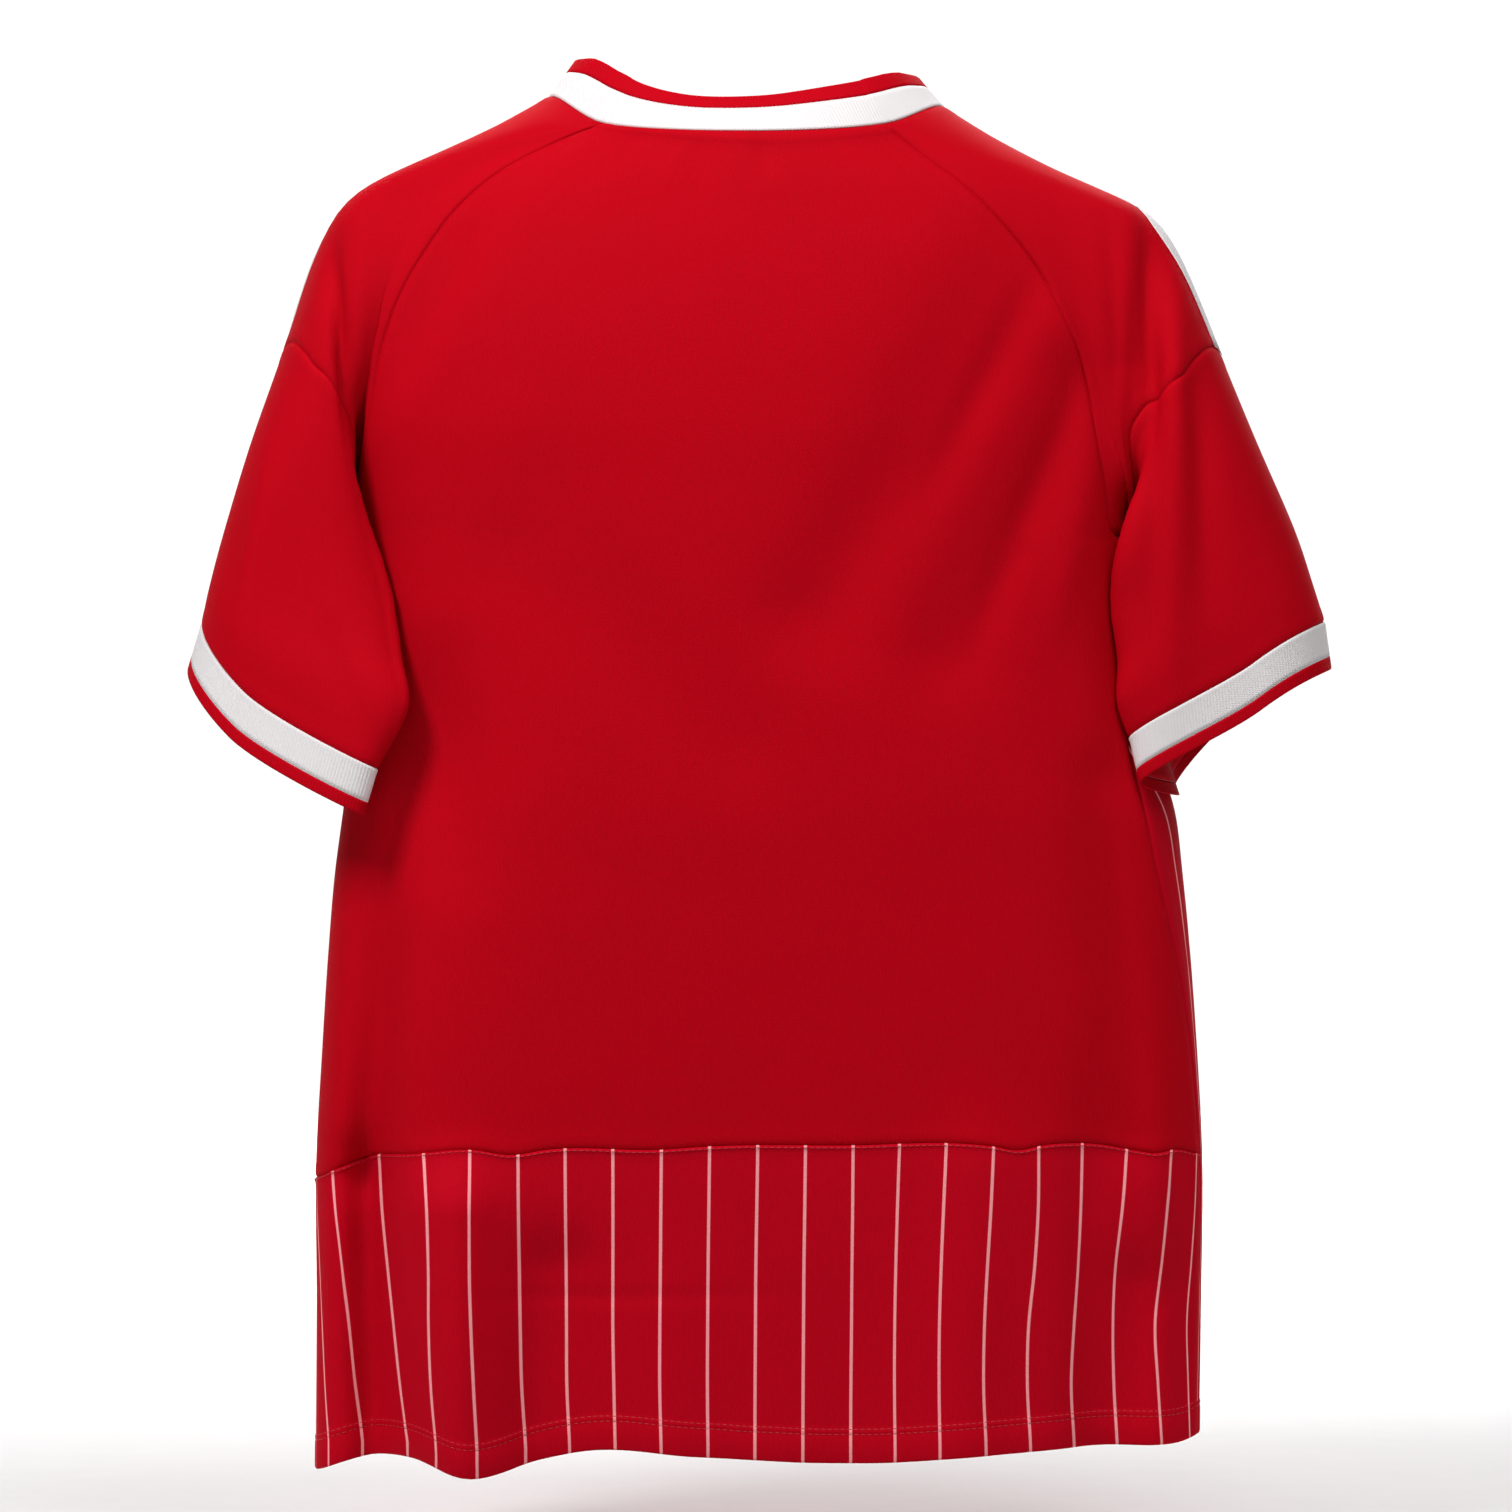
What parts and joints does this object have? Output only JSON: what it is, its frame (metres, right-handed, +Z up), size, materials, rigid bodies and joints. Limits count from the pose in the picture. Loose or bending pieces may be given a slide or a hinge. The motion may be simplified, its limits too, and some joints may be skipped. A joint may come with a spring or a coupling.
{
  "type": "football jersey",
  "caption": "Short-sleeved crew-neck football jersey, filled out and held at the shoulders, with raglan seams, contrast collar and cuffs, and pinstripes on the front and lower back.",
  "frame": {"origin": "midpoint between the two neck points of the shoulders, where a wearer or a hanger holds the garment", "axes": "+Z up; the garment's front faces -Y and its back +Y, so the wearer's left is +X"},
  "size_m": [0.6016, 0.1925, 0.7412],
  "materials": {
    "red_knit": "fine smooth knit",
    "pinstriped_knit": "fine smooth knit with thin white vertical pinstripes",
    "white_rib": "rib knit",
    "red_rib": "rib knit",
    "white_tape": "plain woven tape"
  },
  "bodies": {
    "root": {"back": "red_knit", "back_hem_panel": "pinstriped_knit", "front": "pinstriped_knit", "shoulder_left": "red_knit", "shoulder_right": "red_knit", "sleeve_left": "red_knit", "sleeve_right": "red_knit", "cuff_band_left": "white_rib", "cuff_band_right": "white_rib", "cuff_edge_left": "red_rib", "cuff_edge_right": "red_rib", "collar_band": "white_rib", "collar_edge": "red_rib", "shoulder_stripe_left": "white_tape", "shoulder_stripe_right": "white_tape"}
  },
  "joints": []
}
